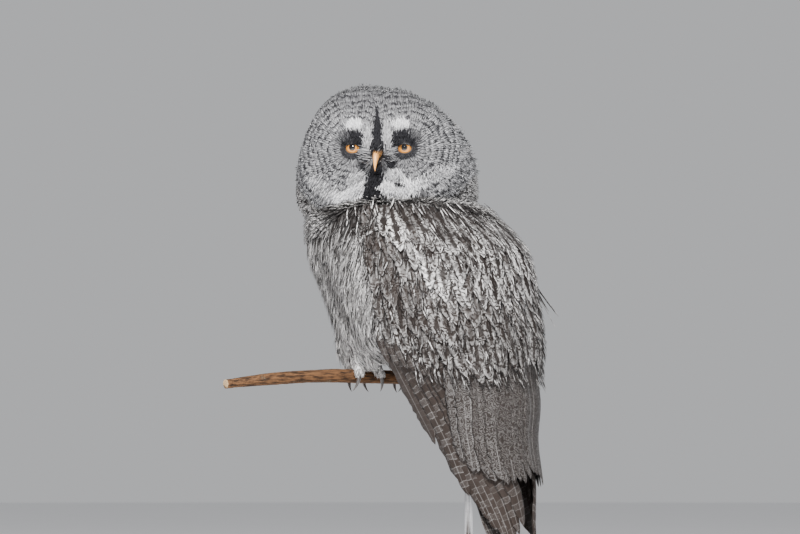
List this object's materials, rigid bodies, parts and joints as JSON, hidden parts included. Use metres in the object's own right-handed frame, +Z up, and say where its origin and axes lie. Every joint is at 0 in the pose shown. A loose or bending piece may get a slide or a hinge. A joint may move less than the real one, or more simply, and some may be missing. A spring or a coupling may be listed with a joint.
{
  "type": "great grey owl",
  "caption": "Still, life-size great grey owl seated on a cut length of branch with its head turned over its left wing, held on a flat base by one upright rod.",
  "frame": {"origin": "middle of the display stand's underside, on the floor", "axes": "+Z up; the owl's body faces -Y and its left side is +X"},
  "size_m": [0.402, 0.3226, 0.6373],
  "materials": {
    "face_plumage": "soft feathers, grey rings round the eyes",
    "plumage": "soft feathers, streaked and barred grey",
    "vanes": "smooth flight feathers, barred dark brown and grey",
    "eye": "wet gloss",
    "bill": "satin horn",
    "claw": "glossy horn",
    "bark": "rough bark",
    "stand_wood": "dark stained, satin",
    "stand_steel": "satin"
  },
  "bodies": {
    "root": {"head": "face_plumage", "neck": "plumage", "torso": "plumage", "leg_left": "plumage", "leg_right": "plumage", "foot_left": "plumage", "foot_right": "plumage", "wing_left": "vanes", "wing_right": "vanes", "tail": "vanes", "eye_left": "eye", "eye_right": "eye", "bill_upper": "bill", "bill_lower": "bill", "claw_left_1": "claw", "claw_left_2": "claw", "claw_left_3": "claw", "claw_left_4": "claw", "claw_right_1": "claw", "claw_right_2": "claw", "claw_right_3": "claw", "claw_right_4": "claw", "perch": "bark", "stand_base": "stand_wood", "stand_rod": "stand_steel", "stand_collar": "stand_steel"}
  },
  "joints": []
}
